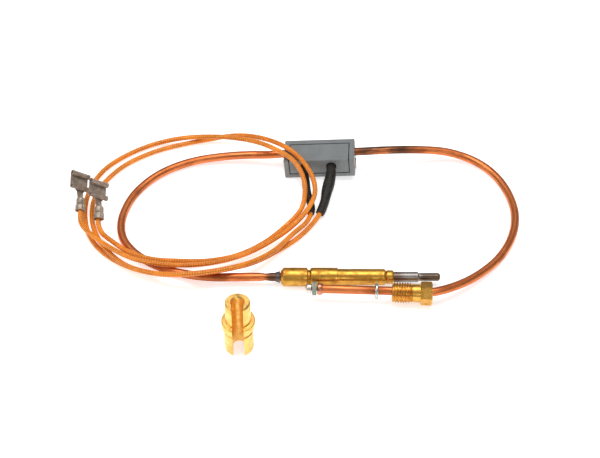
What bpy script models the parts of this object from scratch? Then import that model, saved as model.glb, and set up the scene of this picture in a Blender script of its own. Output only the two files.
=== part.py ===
"""Boiler thermocouple with an interrupter block, two braided leads and a loose split adaptor.

Metres, +Z up. The origin is on the surface the part lies on, under the middle of the rigid
assembly. +X runs along the probe towards its hot tip, +Y points to the interrupter block.
"""
import math

import bmesh
import bpy
from mathutils import Euler, Matrix, Vector

MM = 0.001

# ---- driving dimensions ---------------------------------------------------------------
GAP = 0.3 * MM                      # clearance kept between neighbouring pieces
FINE_GAP = 0.2 * MM                 # clearance inside the narrow tubes

TUBE_R = 1.65 * MM                  # drawn copper tube, outside
TUBE_BORE_R = 1.15 * MM
CORE_R = 0.75 * MM                  # lacquered core wire inside the tube

PROBE_Y = -17.3 * MM                # probe axis, parallel to X
PROBE_Z = 3.8 * MM
BODY_R = 3.65 * MM                  # brass body, large diameter
SHOULDER_R = 3.2 * MM               # brass body, burner side
NOSE_R = 2.65 * MM
SHEATH_R = 2.0 * MM                 # steel sheath
TIP_R = 1.55 * MM                   # hot tip

VALVE_AT = Vector((0.1, -25.2, 5.7)) * MM   # end of the other tube, at its seat
VALVE_YAW = math.radians(-2.3)
WASHER_X = 21.4 * MM                # the pieces on the tube are placed along its axis
WASHER_HANG = 0.2 * MM              # the loose washer and nut hang on the tube
NUT_START_X = 27.3 * MM             # threaded end of the nut
NUT_HANG = 0.85 * MM
NUT_BORE_R = 2.85 * MM
THREAD_R = 3.95 * MM                # M8 x 1 thread, crest
THREAD_ROOT_R = 3.35 * MM
THREAD_PITCH = 1.0 * MM
THREAD_TURNS = 7
HEX_FLAT = 8.0 * MM                 # across the nut's flats
HEX_PHASE = math.radians(165.0)     # turns one flat up and forward

BLOCK_SIZE = Vector((29.0, 13.0, 9.4)) * MM
BLOCK_AT = Vector((1.2, 48.0, 1.32)) * MM
BLOCK_TURN = Euler((0.0, math.radians(-5.0), math.radians(-3.0)))
SHELL_SIDE = 2.0 * MM               # wall thicknesses of the interrupter shell
SHELL_BACK = 2.6 * MM
SHELL_FLOOR = 2.0 * MM
COVER_WALL = 1.5 * MM
TUBE_IN_BLOCK = Vector((0.0, 2.0, 6.0)) * MM
TUBE_END_IN_BLOCK = 9.0 * MM        # distance of each tube end from the block's middle
LEAD_HOLE_Z = 5.9 * MM
LEAD_HOLE_X = (5.0 * MM, -6.2 * MM)

LEAD_R = 1.0 * MM                   # glass-braid lead
SLEEVE_BORE_R = 1.25 * MM

FLAG_LENGTH = 8.4 * MM              # receptacle for a 6.3 mm tab, along the tab
FLAG_WIDTH = 7.8 * MM
FLAG_HEIGHT = 2.2 * MM
FLAG_SHEET = 0.4 * MM
FLAG_REACH = 8.6 * MM              # wire mouth to the receptacle's near edge
FLAG_LEFT = 4.9 * MM                # receptacle's open end, measured from the wire axis
MOUTH_R = 2.2 * MM

ADAPTOR_AT = Vector((-29.9, -48.7, 0.0)) * MM
ADAPTOR_HEIGHT = 24.4 * MM
ADAPTOR_FOOT_R = 5.35 * MM
ADAPTOR_TOP_R = 4.65 * MM
ADAPTOR_BORE_R = 2.3 * MM
ADAPTOR_SLOT = 4.16 * MM            # width of the slot that opens the bore to one side
COLLAR_R = 6.2 * MM
COLLAR_Z = (11.0 * MM, 14.8 * MM)

ROUND_SIDES = 24
TUBE_SIDES = 12
WIRE_SIDES = 8
TUBE_STEP = 5.5 * MM

# Route of the copper tube between the block and the probe.
PROBE_TUBE_ROUTE = [
    (-0.0208, 0.0511, 0.0052), (-0.0284, 0.0520, 0.0043), (-0.0359, 0.0523, 0.0035),
    (-0.0435, 0.0519, 0.0028), (-0.0502, 0.0508, 0.0023), (-0.0575, 0.0482, 0.0019),
    (-0.0645, 0.0438, 0.0018), (-0.0705, 0.0378, 0.0017), (-0.0752, 0.0304, 0.0017),
    (-0.0780, 0.0222, 0.0017), (-0.0790, 0.0138, 0.0017), (-0.0776, 0.0058, 0.0017),
    (-0.0734, -0.0011, 0.0017), (-0.0675, -0.0066, 0.0017), (-0.0606, -0.0108, 0.0019),
    (-0.0538, -0.0138, 0.0023), (-0.0467, -0.0159, 0.0029), (-0.0397, -0.0171, 0.0034),
    (-0.0328, -0.0173, 0.0037), (-0.0259, -0.0173, 0.0038),
]

# Route of the copper tube between the block and the valve end.
VALVE_TUBE_ROUTE = [
    (0.0185, 0.0492, 0.0088), (0.0240, 0.0494, 0.0090), (0.0307, 0.0503, 0.0086),
    (0.0383, 0.0518, 0.0074), (0.0459, 0.0531, 0.0060), (0.0528, 0.0537, 0.0046),
    (0.0590, 0.0529, 0.0034), (0.0648, 0.0504, 0.0026), (0.0700, 0.0463, 0.0020),
    (0.0743, 0.0400, 0.0018), (0.0775, 0.0316, 0.0017), (0.0790, 0.0222, 0.0017),
    (0.0784, 0.0138, 0.0017), (0.0762, 0.0058, 0.0017), (0.0727, -0.0015, 0.0018),
    (0.0684, -0.0078, 0.0021), (0.0631, -0.0136, 0.0027), (0.0576, -0.0185, 0.0035),
    (0.0523, -0.0223, 0.0044), (0.0480, -0.0248, 0.0051), (0.0452, -0.0261, 0.0055),
]

# Routes of the two free leads, from inside the block to the barrels of the receptacles.
LEAD_A_ROUTE = [
    (0.0055, 0.0430, 0.0075), (0.0050, 0.0370, 0.0067), (0.0035, 0.0295, 0.0047),
    (0.0010, 0.0200, 0.0027), (-0.0030, 0.0130, 0.0016), (-0.0090, 0.0055, 0.0013),
    (-0.0170, -0.0020, 0.0018), (-0.0255, -0.0095, 0.0036), (-0.0345, -0.0150, 0.0060),
    (-0.0440, -0.0175, 0.0065), (-0.0540, -0.0175, 0.0052), (-0.0645, -0.0145, 0.0030),
    (-0.0755, -0.0090, 0.0014), (-0.0855, -0.0010, 0.0012), (-0.0913, 0.0080, 0.0012),
    (-0.0943, 0.0205, 0.0012), (-0.0937, 0.0340, 0.0012), (-0.0890, 0.0460, 0.0012),
    (-0.0800, 0.0555, 0.0012), (-0.0690, 0.0620, 0.0015), (-0.0575, 0.0640, 0.0030),
    (-0.0455, 0.0625, 0.0052), (-0.0345, 0.0585, 0.0079), (-0.0245, 0.0530, 0.0102),
    (-0.0162, 0.0465, 0.0114), (-0.0103, 0.0408, 0.0114), (-0.0065, 0.0340, 0.0094),
    (-0.0055, 0.0265, 0.0067), (-0.0072, 0.0195, 0.0040), (-0.0145, 0.0110, 0.0016),
    (-0.0225, 0.0030, 0.0012), (-0.0325, -0.0035, 0.0013), (-0.0435, -0.0070, 0.0020),
    (-0.0550, -0.0090, 0.0040), (-0.0655, -0.0088, 0.0050), (-0.0745, -0.0048, 0.0050),
    (-0.0813, 0.0016, 0.0041), (-0.0860, 0.0074, 0.0032), (-0.0877, 0.0116, 0.0038),
    (-0.0877, 0.0152, 0.0054),
]
LEAD_B_ROUTE = [
    (-0.0057, 0.0433, 0.0067), (-0.0055, 0.0370, 0.0061), (-0.0045, 0.0290, 0.0044),
    (-0.0030, 0.0205, 0.0030), (-0.0047, 0.0135, 0.0033), (-0.0102, 0.0066, 0.0033),
    (-0.0170, -0.0028, 0.0040), (-0.0255, -0.0110, 0.0059), (-0.0345, -0.0166, 0.0080),
    (-0.0440, -0.0191, 0.0083), (-0.0540, -0.0189, 0.0070), (-0.0645, -0.0161, 0.0048),
    (-0.0750, -0.0107, 0.0034), (-0.0830, -0.0028, 0.0036), (-0.0877, 0.0055, 0.0027),
    (-0.0911, 0.0175, 0.0012), (-0.0913, 0.0285, 0.0012), (-0.0880, 0.0385, 0.0012),
    (-0.0805, 0.0490, 0.0012), (-0.0695, 0.0570, 0.0012), (-0.0575, 0.0620, 0.0012),
    (-0.0465, 0.0645, 0.0018), (-0.0350, 0.0640, 0.0045), (-0.0240, 0.0580, 0.0085),
    (-0.0138, 0.0492, 0.0114), (-0.0070, 0.0408, 0.0118), (-0.0025, 0.0325, 0.0100),
    (-0.0015, 0.0250, 0.0078), (-0.0045, 0.0180, 0.0056), (-0.0105, 0.0105, 0.0037),
    (-0.0185, 0.0032, 0.0029), (-0.0280, -0.0035, 0.0027), (-0.0390, -0.0085, 0.0031),
    (-0.0500, -0.0115, 0.0044), (-0.0610, -0.0122, 0.0057), (-0.0720, -0.0099, 0.0064),
    (-0.0815, -0.0037, 0.0061), (-0.0890, 0.0035, 0.0054), (-0.0944, 0.0112, 0.0046),
    (-0.0954, 0.0190, 0.0064),
]
SLEEVE_LENGTH = (25.0 * MM, 25.5 * MM)    # heat-shrink, from inside the cover's hole
SLEEVE_STEPS = 12                   # path points inside the sleeve
LEAD_POINTS = 78                    # path points on each whole lead

# Wire mouth of each receptacle, and how both are turned.
FLAG_A_AT = Vector((-87.7, 13.4, 4.6)) * MM
FLAG_B_AT = Vector((-95.4, 17.2, 5.6)) * MM
FLAG_PITCH = Matrix.Rotation(math.radians(25.0), 3, "X")
FLAG_ROLL = Matrix.Rotation(math.radians(46.0), 3, "Y")
FLAG_TURN = (FLAG_PITCH @ FLAG_ROLL).to_euler()


# ---- helpers --------------------------------------------------------------------------
def clear_scene():
    for old in list(bpy.data.objects):
        bpy.data.objects.remove(old, do_unlink=True)


def material(name, colour, roughness, metallic):
    made = bpy.data.materials.new(name)
    made.use_nodes = True
    shader = made.node_tree.nodes["Principled BSDF"]
    shader.inputs["Base Color"].default_value = (*colour, 1.0)
    shader.inputs["Roughness"].default_value = roughness
    shader.inputs["Metallic"].default_value = metallic
    return made


def add_object(name, data, look, parent=None):
    made = bpy.data.objects.new(name, data)
    bpy.context.scene.collection.objects.link(made)
    if look is not None:
        data.materials.append(look)
    made.parent = parent
    return made


def mesh_from(name, bm, sharp_degrees=30.0):
    bmesh.ops.recalc_face_normals(bm, faces=bm.faces)
    mesh = bpy.data.meshes.new(name)
    bm.to_mesh(mesh)
    bm.free()
    mesh.shade_smooth()
    mesh.set_sharp_from_angle(angle=math.radians(sharp_degrees))
    return mesh


def smooth_curve(points, samples=12):
    """Centripetal Catmull-Rom curve through the points, as a dense list."""
    knots = [Vector(p) for p in points]
    knots = [2 * knots[0] - knots[1]] + knots + [2 * knots[-1] - knots[-2]]
    dense = []
    for p0, p1, p2, p3 in zip(knots, knots[1:], knots[2:], knots[3:]):
        t1 = math.sqrt((p1 - p0).length)
        t2 = t1 + math.sqrt((p2 - p1).length)
        t3 = t2 + math.sqrt((p3 - p2).length)
        for step in range(samples):
            t = t1 + (t2 - t1) * step / samples
            a1 = p0.lerp(p1, t / t1)
            a2 = p1.lerp(p2, (t - t1) / (t2 - t1))
            a3 = p2.lerp(p3, (t - t2) / (t3 - t2))
            b1 = a1.lerp(a2, t / t2)
            b2 = a2.lerp(a3, (t - t1) / (t3 - t1))
            dense.append(b1.lerp(b2, (t - t1) / (t2 - t1)))
    dense.append(knots[-2].copy())
    return dense


def even_points(dense, count):
    """The same curve with its points spaced evenly along it."""
    reach = [0.0]
    for a, b in zip(dense, dense[1:]):
        reach.append(reach[-1] + (b - a).length)
    even = []
    place = 0
    for step in range(count):
        want = reach[-1] * step / (count - 1)
        while place < len(dense) - 2 and reach[place + 1] < want:
            place += 1
        span = reach[place + 1] - reach[place]
        even.append(dense[place].lerp(dense[place + 1], (want - reach[place]) / span))
    return even


def path_length(points):
    return sum((b - a).length for a, b in zip(points, points[1:]))


def frames_along(path):
    """Two unit vectors across the path at each point, carried along without twist."""
    across = Vector((0.0, 0.0, 1.0))
    frames = []
    for i in range(len(path)):
        ahead = path[min(i + 1, len(path) - 1)]
        behind = path[max(i - 1, 0)]
        along = (ahead - behind).normalized()
        across = (across - along * across.dot(along)).normalized()
        frames.append((across, along.cross(across)))
    return frames


def sweep(name, path, outer, bore, sides, look):
    """A round tube along a path. outer and bore give the radius at each point."""
    bm = bmesh.new()
    frames = frames_along(path)

    def rings(radii):
        made = []
        for point, radius, (u, v) in zip(path, radii, frames):
            turn = [2 * math.pi * k / sides for k in range(sides)]
            made.append([bm.verts.new(point + radius * (math.cos(a) * u + math.sin(a) * v)) for a in turn])
        return made

    def skin(loops):
        for a, b in zip(loops, loops[1:]):
            for k in range(sides):
                bm.faces.new((a[k], a[(k + 1) % sides], b[(k + 1) % sides], b[k]))

    outside = rings(outer)
    skin(outside)
    if bore:
        inside = rings(bore)
        skin(inside)
        skin([outside[0], inside[0]])
        skin([outside[-1], inside[-1]])
    else:
        bm.faces.new(outside[0])
        bm.faces.new(outside[-1])
    return add_object(name, mesh_from(name, bm), look)


def turned(name, profile, look, axis="X", sides=ROUND_SIDES, closed=True, phase=0.0, parent=None):
    """A turned solid. The profile lists (station, radius), where a radius may be a function
    of the angle. A closed profile leaves a bore, an open one starts and ends on the axis."""
    bm = bmesh.new()

    def place(station, radius, angle):
        a, b = radius * math.cos(angle), radius * math.sin(angle)
        return (station, a, b) if axis == "X" else (a, b, station)

    rings = []
    for station, radius in profile:
        if not callable(radius) and radius == 0.0:
            rings.append([bm.verts.new(place(station, 0.0, 0.0))] * sides)
            continue
        ring = []
        for k in range(sides):
            angle = 2 * math.pi * k / sides
            value = radius(angle) if callable(radius) else radius
            ring.append(bm.verts.new(place(station, value, angle + phase)))
        rings.append(ring)
    if closed:
        rings.append(rings[0])
    for a, b in zip(rings, rings[1:]):
        for k in range(sides):
            corners = list(dict.fromkeys((a[k], a[(k + 1) % sides], b[(k + 1) % sides], b[k])))
            if len(corners) > 2:
                bm.faces.new(corners)
    return add_object(name, mesh_from(name, bm), look, parent)


def hex_radius(flat, limit):
    """Radius of a hexagon across the given flats, with its corners turned down to a limit."""
    def radius(angle):
        off = (angle + math.pi / 6) % (math.pi / 3) - math.pi / 6
        return min(flat / 2 / math.cos(abs(off) - math.pi / 6), limit)
    return radius


def box_mesh(bm, low, high):
    spots = [(x, y, z) for x in (low[0], high[0]) for y in (low[1], high[1]) for z in (low[2], high[2])]
    corner = [bm.verts.new(spot) for spot in spots]
    for quad in ((0, 1, 3, 2), (4, 6, 7, 5), (0, 4, 5, 1), (2, 3, 7, 6), (0, 2, 6, 4), (1, 5, 7, 3)):
        bm.faces.new([corner[i] for i in quad])


def boxes(name, pairs, look, parent=None):
    """One body from one or more boxes that are joined by Boolean unions."""
    made = None
    for index, (low, high) in enumerate(pairs):
        bm = bmesh.new()
        box_mesh(bm, low, high)
        if index == 0:
            made = add_object(name, mesh_from(name, bm), look, parent)
            continue
        extra = add_object(f"{name}_piece_{index}", mesh_from(name, bm), None, parent)
        combine(made, extra, "UNION")
    return made


def combine(target, tool, operation):
    tool.hide_render = True
    tool.display_type = "WIRE"
    change = target.modifiers.new(tool.name, "BOOLEAN")
    change.object = tool
    change.operation = operation
    change.solver = "EXACT"


def cut_box(target, name, low, high):
    bm = bmesh.new()
    box_mesh(bm, low, high)
    tool = add_object(name, mesh_from(name, bm), None, target.parent)
    combine(target, tool, "DIFFERENCE")


def cut_round(target, name, start, end, radius, sides=16):
    """A round hole between two points in the target's own frame."""
    tool = sweep(name, [Vector(start), Vector(end)], [radius] * 2, None, sides, None)
    tool.parent = target.parent
    combine(target, tool, "DIFFERENCE")


def soften(target, width, segments=1):
    bevel = target.modifiers.new("edge", "BEVEL")
    bevel.width = width
    bevel.segments = segments
    bevel.limit_method = "ANGLE"


def rod(name, points, radius, look, resolution=1):
    """A solid wire: a curve with a round bevel and filled ends."""
    curve = bpy.data.curves.new(name, "CURVE")
    curve.dimensions = "3D"
    curve.bevel_depth = radius
    curve.bevel_resolution = resolution
    curve.use_fill_caps = True
    line = curve.splines.new("POLY")
    line.points.add(len(points) - 1)
    for spot, point in zip(line.points, points):
        spot.co = (*point, 1.0)
    return add_object(name, curve, look)


# ---- looks ----------------------------------------------------------------------------
def make_looks():
    return {
        "steel": material("sheath_steel", (0.30, 0.28, 0.27), 0.38, 1.0),
        "brass": material("turned_brass", (0.62, 0.42, 0.14), 0.30, 1.0),
        "bright_brass": material("bright_brass", (0.86, 0.56, 0.20), 0.24, 1.0),
        "copper": material("drawn_copper", (0.78, 0.34, 0.20), 0.34, 1.0),
        "constantan": material("constantan", (0.55, 0.50, 0.45), 0.40, 1.0),
        "enamel": material("lacquered_wire", (0.45, 0.20, 0.08), 0.45, 0.0),
        "ceramic": material("glass_fibre_sleeve", (0.86, 0.83, 0.76), 0.80, 0.0),
        "solder": material("heat_blued_solder", (0.20, 0.21, 0.24), 0.45, 1.0),
        "grey_plastic": material("grey_plastic", (0.25, 0.26, 0.26), 0.50, 0.0),
        "beige_plastic": material("beige_plastic", (0.72, 0.66, 0.54), 0.55, 0.0),
        "shrink": material("heat_shrink", (0.030, 0.027, 0.022), 0.62, 0.0),
        "braid": material("orange_braid", (0.86, 0.30, 0.04), 0.60, 0.0),
        "tin": material("tinned_brass", (0.55, 0.48, 0.42), 0.36, 1.0),
        "strand": material("tinned_strands", (0.60, 0.55, 0.50), 0.40, 1.0),
        "fibre": material("green_fibre_washer", (0.52, 0.56, 0.48), 0.60, 0.0),
        "washer": material("spring_steel_washer", (0.62, 0.63, 0.62), 0.32, 1.0),
        "contact": material("contact_solder", (0.78, 0.66, 0.62), 0.40, 1.0),
    }


# ---- probe ----------------------------------------------------------------------------
PROBE_AXIS = Vector((0.0, PROBE_Y, PROBE_Z))
BODY_START = -14.9 * MM
BODY_STEP = 6.9 * MM
BODY_END = 25.5 * MM
NOSE_END = 28.3 * MM
SHEATH_START = 12.0 * MM
TIP_STEP = 38.0 * MM
TIP_END = 46.2 * MM
GROOVE = (-4.7 * MM, -3.5 * MM)
TUBE_END_IN_BODY = -6.0 * MM


def make_probe_body(look):
    bore_a = TUBE_R + 0.25 * MM
    bore_b = 1.6 * MM
    bore_c = SHEATH_R + GAP
    chamfer = 1.3 * MM
    profile = [
        (BODY_START, bore_a), (BODY_START, BODY_R - chamfer), (BODY_START + 1.1 * MM, BODY_R),
        (GROOVE[0], BODY_R), (GROOVE[0] + 0.3 * MM, BODY_R - 0.9 * MM),
        (GROOVE[1] - 0.3 * MM, BODY_R - 0.9 * MM), (GROOVE[1], BODY_R - 0.3 * MM),
        (GROOVE[1] + 0.4 * MM, BODY_R), (BODY_STEP, BODY_R), (BODY_STEP, SHOULDER_R),
        (BODY_END - 0.8 * MM, SHOULDER_R), (BODY_END, SHOULDER_R - 0.7 * MM),
        (BODY_END, NOSE_R - 0.3 * MM), (BODY_END + 0.4 * MM, NOSE_R),
        (NOSE_END - 0.5 * MM, NOSE_R), (NOSE_END, NOSE_R - 0.2 * MM), (NOSE_END, bore_c),
        (SHEATH_START - GAP, bore_c), (SHEATH_START - GAP, bore_b),
        (TUBE_END_IN_BODY + GAP, bore_b), (TUBE_END_IN_BODY + GAP, bore_a),
    ]
    body = turned("probe_body", profile, look["brass"])
    body.location = PROBE_AXIS


def make_probe_sheath(look):
    bore = 1.2 * MM
    end_wall = 1.2 * MM
    round_steps = 4
    profile = [
        (SHEATH_START, bore), (SHEATH_START, SHEATH_R), (TIP_STEP - 0.4 * MM, SHEATH_R),
        (TIP_STEP, TIP_R),
    ]
    for step in range(round_steps + 1):
        angle = math.pi / 2 * step / round_steps
        radius = TIP_R - 1.0 * MM * (1 - math.cos(angle))
        profile.append((TIP_END - 1.0 * MM + 1.0 * MM * math.sin(angle), radius))
    profile += [(TIP_END, 0.0), (TIP_END - end_wall, 0.0), (TIP_END - end_wall, bore)]
    sheath = turned("hot_tip_sheath", profile, look["steel"])
    sheath.location = PROBE_AXIS


def make_probe_insides(look):
    core_start = 5.0 * MM
    core_end = TIP_END - 1.5 * MM
    core_r = 0.45 * MM
    core_line = [Vector((core_start, 0, 0)), Vector((core_end, 0, 0))]
    core = rod("constantan_core", core_line, core_r, look["constantan"])
    core.location = PROBE_AXIS

    sleeve_r = 1.0 * MM
    sleeve_bore = core_r + FINE_GAP
    start = SHEATH_START + 1.0 * MM
    stop = core_end - GAP
    profile = [(start, sleeve_bore), (start, sleeve_r), (stop, sleeve_r), (stop, sleeve_bore)]
    sleeve = turned("glass_fibre_sleeve", profile, look["ceramic"], sides=12)
    sleeve.location = PROBE_AXIS

    splice_r = 1.3 * MM
    splice_bore = CORE_R + FINE_GAP
    splice = [
        (-1.0 * MM, splice_bore), (-1.0 * MM, splice_r), (8.0 * MM, splice_r), (8.0 * MM, splice_bore),
    ]
    joint = turned("cold_junction_splice", splice, look["tin"], sides=12)
    joint.location = PROBE_AXIS

    ring_bore = TUBE_R + FINE_GAP
    ring = [
        (-16.6 * MM, ring_bore), (-16.5 * MM, ring_bore + 0.15 * MM), (-15.8 * MM, ring_bore + 0.3 * MM),
        (-15.2 * MM, ring_bore + 0.55 * MM), (-15.2 * MM, ring_bore),
    ]
    collar = turned("solder_ring", ring, look["solder"])
    collar.location = PROBE_AXIS


# ---- copper tubes and their cores -----------------------------------------------------
def block_matrix():
    return Matrix.Translation(BLOCK_AT) @ BLOCK_TURN.to_matrix().to_4x4()


def in_block(x, y, z):
    """A point of the block's own frame, in the part's frame."""
    return block_matrix() @ Vector((x, y, z))


def probe_tube_points():
    y, z = TUBE_IN_BLOCK.y, TUBE_IN_BLOCK.z
    start = [in_block(-TUBE_END_IN_BLOCK, y, z), in_block(-BLOCK_SIZE.x / 2 - 1.5 * MM, y, z)]
    end = [Vector((x, PROBE_Y, PROBE_Z)) for x in (-20.5 * MM, -15.0 * MM, TUBE_END_IN_BODY)]
    return start + [Vector(p) for p in PROBE_TUBE_ROUTE] + end


def valve_tube_points():
    y, z = TUBE_IN_BLOCK.y, TUBE_IN_BLOCK.z
    start = [in_block(TUBE_END_IN_BLOCK, y, z), in_block(BLOCK_SIZE.x / 2 + 1.0 * MM, y, z)]
    end = [on_valve_axis(x) for x in (42.5 * MM, 38.0 * MM, 30.0 * MM, 15.0 * MM, 0.0)]
    return start + [Vector(p) for p in VALVE_TUBE_ROUTE] + end


def make_copper_tube(name, points, swell, look):
    """Makes the tube and returns its path, which the core wire inside it shares."""
    dense = smooth_curve(points)
    count = round(path_length(dense) / TUBE_STEP)
    path = even_points(dense, count)
    outer = [TUBE_R + swell(point) for point in path]
    sweep(name, path, outer, [TUBE_BORE_R] * count, TUBE_SIDES, look["copper"])
    return path


def probe_end_swell(point):
    """The tube is pinched, then swelled, where it enters the probe body."""
    if point.y > 0.0:
        return 0.0
    pinch = math.exp(-((point.x + 21.0 * MM) / (2.0 * MM)) ** 2)
    return -0.27 * MM * pinch


def core_in_block(hole, side):
    """The core wire from its ferrule to the mouth of the tube on the given side."""
    y, z = TUBE_IN_BLOCK.y, TUBE_IN_BLOCK.z
    turn = [
        in_block(hole, -2.4 * MM, LEAD_HOLE_Z), in_block(hole, -1.2 * MM, LEAD_HOLE_Z),
        in_block(hole, -0.4 * MM, LEAD_HOLE_Z), in_block(hole + side * 1.1 * MM, 1.3 * MM, z),
        in_block(side * (TUBE_END_IN_BLOCK - 0.4 * MM), y, z),
    ]
    return smooth_curve(turn, samples=3)


def make_tubes(look):
    hole_a, hole_b = LEAD_HOLE_X
    path = make_copper_tube("probe_copper_tube", probe_tube_points(), probe_end_swell, look)
    end = Vector((3.2 * MM, PROBE_Y, PROBE_Z))
    rod("probe_core_lead", core_in_block(hole_b, -1) + path[1:] + [end], CORE_R, look["enamel"])
    path = make_copper_tube("valve_copper_tube", valve_tube_points(), lambda point: 0.0, look)
    end = on_valve_axis(-3.9 * MM)
    rod("valve_core_lead", core_in_block(hole_a, 1) + path[1:] + [end], CORE_R, look["enamel"])


# ---- interrupter block ----------------------------------------------------------------
def make_block(look):
    frame = bpy.data.objects.new("interrupter_frame", None)
    bpy.context.scene.collection.objects.link(frame)
    frame.location = BLOCK_AT
    frame.rotation_euler = BLOCK_TURN
    half_x, half_y, top = BLOCK_SIZE.x / 2, BLOCK_SIZE.y / 2, BLOCK_SIZE.z
    inner_x = half_x - SHELL_SIDE
    inner_back = half_y - SHELL_BACK
    past = 1.0 * MM

    outside = [((-half_x, -half_y, 0.0), (half_x, half_y, top))]
    shell = boxes("interrupter_shell", outside, look["grey_plastic"], frame)
    soften(shell, 0.3 * MM)
    cut_box(shell, "shell_pocket", (-inner_x, -half_y - past, SHELL_FLOOR), (inner_x, inner_back, top + past))
    reach = half_x + past
    y, z = TUBE_IN_BLOCK.y, TUBE_IN_BLOCK.z
    cut_round(shell, "shell_tube_hole", (-reach, y, z), (reach, y, z), TUBE_R + GAP)

    tongue_low = (inner_x - past, -4.2 * MM, SHELL_FLOOR + GAP)
    tongue_high = (half_x + 0.45 * MM, 1.2 * MM, SHELL_FLOOR + 1.3 * MM)
    cut_box(
        shell, "shell_tongue_slot",
        (inner_x - past, tongue_low[1] - GAP, SHELL_FLOOR),
        (reach, tongue_high[1] + GAP, tongue_high[2] + GAP),
    )
    plate_low = (-inner_x + GAP, -half_y + COVER_WALL + GAP, SHELL_FLOOR + GAP)
    plate_high = (inner_x - GAP, inner_back - GAP, SHELL_FLOOR + 1.6 * MM)
    carrier_boxes = [(plate_low, plate_high), (tongue_low, tongue_high)]
    boxes("insulating_carrier", carrier_boxes, look["beige_plastic"], frame)

    side = inner_x - GAP
    front = ((-side, -half_y, SHELL_FLOOR + GAP), (side, -half_y + COVER_WALL, top))
    lid = ((-side, -half_y, top - COVER_WALL), (side, inner_back - GAP, top))
    cover = boxes("interrupter_cover", [front, lid], look["grey_plastic"], frame)
    soften(cover, 0.2 * MM)
    for tag, x, radius in zip("ab", LEAD_HOLE_X, SLEEVE_R):
        cut_round(
            cover, f"cover_hole_{tag}", (x, -half_y - past, LEAD_HOLE_Z),
            (x, -half_y + COVER_WALL + 0.5 * MM, LEAD_HOLE_Z), radius + GAP,
        )

    strap_z = plate_high[2] + 0.25 * MM
    strap = ((-11.5 * MM, 0.9 * MM, strap_z), (11.5 * MM, 3.1 * MM, strap_z + 0.3 * MM))
    boxes("sheath_bridge", [strap], look["copper"], frame)

    ferrule_bore = CORE_R + FINE_GAP
    ferrule_r = 1.3 * MM
    for tag, x in zip("ab", LEAD_HOLE_X):
        profile = [
            (1.1 * MM, ferrule_bore), (1.1 * MM, ferrule_r), (3.4 * MM, ferrule_r), (3.4 * MM, ferrule_bore),
        ]
        ferrule = turned(f"core_ferrule_{tag}", profile, look["tin"], sides=12, parent=frame)
        ferrule.rotation_euler = (0.0, 0.0, -math.pi / 2)
        ferrule.location = (x, 0.0, LEAD_HOLE_Z)


# ---- leads, sleeves and receptacles ---------------------------------------------------
SLEEVE_R = (1.85 * MM, 1.5 * MM)


def sleeve_outline(share, start, swell, end):
    """Outside radius of a shrunk sleeve at a share of its length."""
    bump = math.exp(-((share - 0.42) / 0.22) ** 2)
    return start + (end - start) * share + swell * bump


def make_lead(tag, route, sleeve_length, sleeve_shape, look):
    """The lead and the sleeve shrunk over its first stretch, on one path."""
    dense = smooth_curve(route)
    split = 1
    while path_length(dense[:split + 1]) < sleeve_length:
        split += 1
    covered = even_points(dense[:split + 1], SLEEVE_STEPS)
    free = even_points(dense[split:], LEAD_POINTS - SLEEVE_STEPS)
    rod(f"lead_{tag}", covered + free[1:], LEAD_R, look["braid"], resolution=2)
    count = SLEEVE_STEPS - 1
    outer = [sleeve_outline(k / (count - 1), *sleeve_shape) for k in range(count)]
    sweep(f"heat_shrink_{tag}", covered[1:], outer, [SLEEVE_BORE_R] * count, TUBE_SIDES, look["shrink"])


def flag_outline():
    """Cross-section of the receptacle: a floor with its two edges rolled over."""
    roll = FLAG_HEIGHT / 2
    turns = [math.radians(a) for a in range(-5, 276, 35)]
    outer = [(roll + roll * math.cos(a), roll + roll * math.sin(a)) for a in turns]
    thin = roll - FLAG_SHEET
    inner = [(roll + thin * math.cos(a), roll + thin * math.sin(a)) for a in turns]
    left = list(reversed(inner)) + outer
    right = [(FLAG_WIDTH - y, z) for y, z in left]
    return left + list(reversed(right))


def make_flag(tag, spot, look):
    name = f"flag_receptacle_{tag}"
    bm = bmesh.new()
    start = -FLAG_LEFT
    end = FLAG_LENGTH - FLAG_LEFT
    drop = FLAG_HEIGHT / 2
    near = [bm.verts.new((start, FLAG_REACH + y, z - drop)) for y, z in flag_outline()]
    bm.faces.new(near)
    grown = bmesh.ops.extrude_face_region(bm, geom=list(bm.faces))
    moved = [v for v in grown["geom"] if isinstance(v, bmesh.types.BMVert)]
    bmesh.ops.translate(bm, verts=moved, vec=(end - start, 0.0, 0.0))
    flag = add_object(name, mesh_from(name, bm), look["tin"])

    neck = bmesh.new()
    half = 1.3 * MM
    box_mesh(neck, (-half, 4.8 * MM, -drop), (half, FLAG_REACH + 0.9 * MM, 0.3 * MM))
    neck_tool = add_object(f"{name}_neck", mesh_from(name, neck), None)
    cup = [
        (0.0, 1.75 * MM), (0.0, MOUTH_R), (2.6 * MM, 1.95 * MM), (3.4 * MM, 1.45 * MM),
        (5.4 * MM, 1.3 * MM), (5.4 * MM, 0.0), (4.6 * MM, 0.0), (4.4 * MM, 0.9 * MM), (2.6 * MM, 1.4 * MM),
    ]
    cup_tool = turned(f"{name}_barrel", cup, None, sides=16)
    cup_tool.rotation_euler = (0.0, 0.0, math.pi / 2)
    for tool in (neck_tool, cup_tool):
        tool.parent = flag
        combine(flag, tool, "UNION")
    flag.location = spot
    flag.rotation_euler = FLAG_TURN

    inward = FLAG_TURN.to_matrix() @ Vector((0.0, 1.0, 0.0))
    first = spot + inward * (2.1 * MM + GAP)
    last = spot + inward * 4.1 * MM
    rod(f"conductor_{tag}", [first, last], 0.5 * MM, look["strand"])


# ---- valve end ------------------------------------------------------------------------
def valve_frame():
    """An empty whose X axis is the axis of the tube's straight end."""
    frame = bpy.data.objects.new("valve_end_frame", None)
    bpy.context.scene.collection.objects.link(frame)
    frame.location = VALVE_AT
    frame.rotation_euler = (0.0, 0.0, VALVE_YAW)
    return frame


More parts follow.
